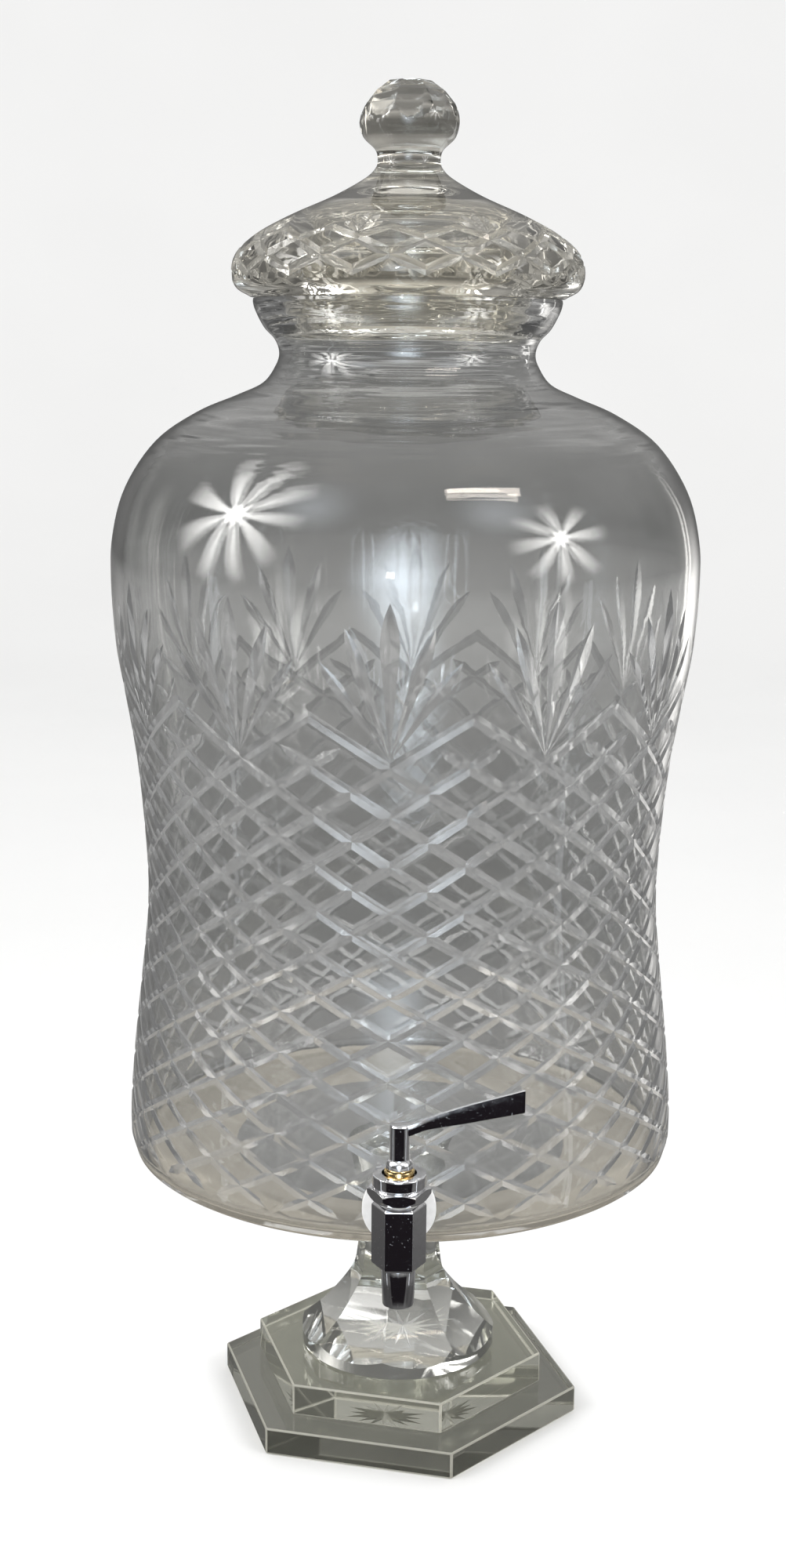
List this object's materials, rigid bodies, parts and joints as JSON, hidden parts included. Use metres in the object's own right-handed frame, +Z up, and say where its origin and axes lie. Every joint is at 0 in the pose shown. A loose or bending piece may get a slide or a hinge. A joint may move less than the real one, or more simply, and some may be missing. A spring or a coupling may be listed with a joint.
{
  "type": "beverage dispenser",
  "caption": "Cut-glass drink jar with a knobbed lift-off lid, on a faceted pedestal and stepped hexagonal plates, with a quarter-turn metal spigot low on its wall.",
  "frame": {"origin": "centre of the lower plate's underside, on the jar's axis and on the surface it stands on", "axes": "+Z up along the jar's axis; -Y towards the spigot; +X the way the closed lever points"},
  "size_m": [0.2584, 0.2903, 0.6],
  "materials": {
    "lid": "clear wheel-cut glass, polished",
    "jar": "clear wheel-cut glass, polished",
    "pedestal": "clear thick glass, hollow-ground panels",
    "upper_plate": "clear thick glass, faintly green at its edges",
    "lower_plate": "clear thick glass, faintly green at its edges",
    "spigot_body": "polished plate",
    "spout_tube": "polished plate",
    "bonnet_nut": "polished plate",
    "lever": "polished plate",
    "stem_bush": "turned, bright",
    "valve_plug": "turned",
    "valve_seat": "white PTFE",
    "thrust_washer": "white PTFE",
    "bonnet_gasket": "white PTFE",
    "stem_o_ring_lower": "black rubber",
    "stem_o_ring_upper": "black rubber",
    "outer_gasket": "white silicone",
    "inner_gasket": "white silicone",
    "inner_washer": "stamped stainless steel",
    "lock_nut": "stainless steel"
  },
  "bodies": {
    "dispenser": {"jar": "jar", "pedestal": "pedestal", "upper_plate": "upper_plate", "lower_plate": "lower_plate", "spigot_body": "spigot_body", "spout_tube": "spout_tube", "bonnet_nut": "bonnet_nut", "bonnet_gasket": "bonnet_gasket", "valve_seat": "valve_seat", "thrust_washer": "thrust_washer", "stem_o_ring_lower": "stem_o_ring_lower", "stem_o_ring_upper": "stem_o_ring_upper", "stem_bush": "stem_bush", "outer_gasket": "outer_gasket", "inner_gasket": "inner_gasket", "inner_washer": "inner_washer", "lock_nut": "lock_nut"},
    "lid": {"lid": "lid"},
    "lever": {"lever": "lever", "valve_plug": "valve_plug"}
  },
  "joints": [
    {"name": "lid_lift", "type": "slide", "parent": "dispenser", "child": "lid", "axis": [0, 0, 1], "range_m": [0, 0.15]},
    {"name": "lever_turn", "type": "hinge", "parent": "dispenser", "child": "lever", "pos_m": [0, -0.15, 0.1739], "axis": [0, 0, 1], "range_deg": [-90, 0]}
  ]
}
